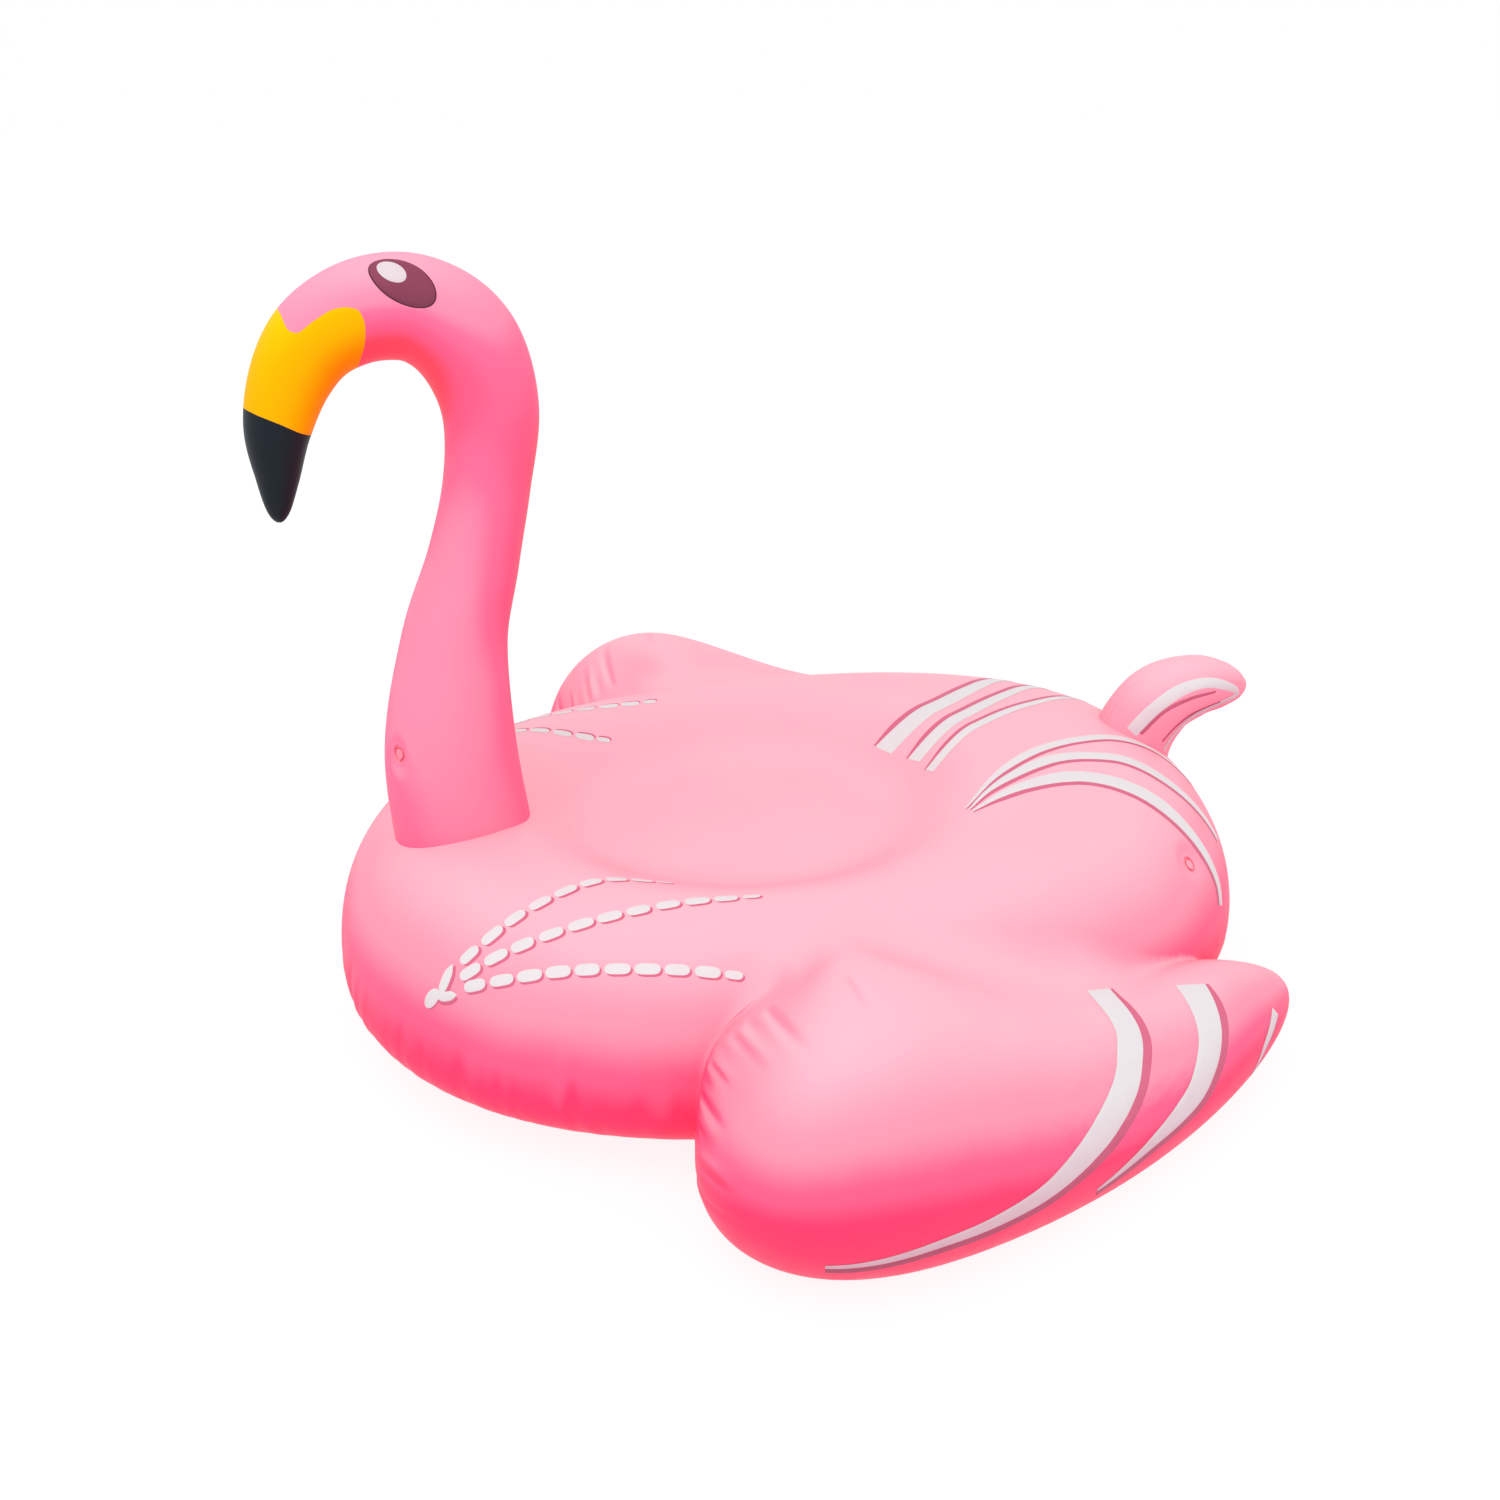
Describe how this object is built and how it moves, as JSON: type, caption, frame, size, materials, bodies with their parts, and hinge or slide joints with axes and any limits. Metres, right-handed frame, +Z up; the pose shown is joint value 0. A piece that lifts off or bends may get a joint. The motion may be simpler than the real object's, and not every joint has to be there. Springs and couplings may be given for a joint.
{
  "type": "inflatable pool float",
  "caption": "Ride-on inflatable pool float shaped as a flamingo: oval cushion with a seat hollow, side wings, upright neck with hooked beak, curled tail and plug valves that open.",
  "frame": {"origin": "on the resting plane, under the middle of the oval body", "axes": "+Z up; the bird faces -Y and its tail points to +Y; +X towards the bird's left wing"},
  "size_m": [1.3474, 1.3278, 0.9718],
  "materials": {
    "pink_vinyl": "soft satin PVC film, light pink, slightly translucent",
    "underside_vinyl": "soft satin PVC film, deep pink",
    "neck_vinyl": "soft satin PVC film, deep pink, slightly translucent",
    "yellow_vinyl": "satin PVC film, yellow shading to orange",
    "black_vinyl": "satin PVC film, blue-black",
    "valve_plastic": "soft moulded PVC, pale pink, slightly glossy"
  },
  "bodies": {
    "root": {"body_top_panel": "pink_vinyl", "body_bottom_panel": "underside_vinyl", "seat_tie_band": "underside_vinyl", "wing_left_top_panel": "pink_vinyl", "wing_left_bottom_panel": "underside_vinyl", "wing_right_top_panel": "pink_vinyl", "wing_right_bottom_panel": "underside_vinyl", "neck_left_panel": "neck_vinyl", "neck_right_panel": "neck_vinyl", "beak_left_panel": "yellow_vinyl", "beak_right_panel": "yellow_vinyl", "beak_tip_left_panel": "black_vinyl", "beak_tip_right_panel": "black_vinyl", "tail_left_panel": "pink_vinyl", "tail_right_panel": "pink_vinyl", "neck_valve_flange": "valve_plastic", "body_valve_flange": "valve_plastic"},
    "neck_stem": {"neck_valve_stem": "valve_plastic"},
    "neck_cap": {"neck_valve_cap": "valve_plastic"},
    "neck_flap": {"neck_valve_flap": "valve_plastic"},
    "body_stem": {"body_valve_stem": "valve_plastic"},
    "body_cap": {"body_valve_cap": "valve_plastic"},
    "body_flap": {"body_valve_flap": "valve_plastic"}
  },
  "joints": [
    {"name": "neck_stem_pull", "type": "slide", "parent": "root", "child": "neck_stem", "axis": [0.5548, -0.8244, 0.1124], "range_m": [0, 0.01]},
    {"name": "neck_cap_swing", "type": "hinge", "parent": "neck_stem", "child": "neck_cap", "pos_m": [0.04358, -0.514, 0.38716], "axis": [0.8296, 0.5583, 0], "range_deg": [0, 130]},
    {"name": "neck_flap_swing", "type": "hinge", "parent": "neck_stem", "child": "neck_flap", "pos_m": [0.03457, -0.50061, 0.38796], "axis": [-0.8296, -0.5583, 0], "range_deg": [0, 60]},
    {"name": "body_stem_pull", "type": "slide", "parent": "root", "child": "body_stem", "axis": [0.539, 0.4777, 0.6937], "range_m": [0, 0.01]},
    {"name": "body_cap_swing", "type": "hinge", "parent": "body_stem", "child": "body_cap", "pos_m": [0.28599, 0.44935, 0.21923], "axis": [-0.6633, 0.7484, 0], "range_deg": [0, 130]},
    {"name": "body_flap_swing", "type": "hinge", "parent": "body_stem", "child": "body_flap", "pos_m": [0.27604, 0.44054, 0.21004], "axis": [0.6633, -0.7484, 0], "range_deg": [0, 60]}
  ]
}
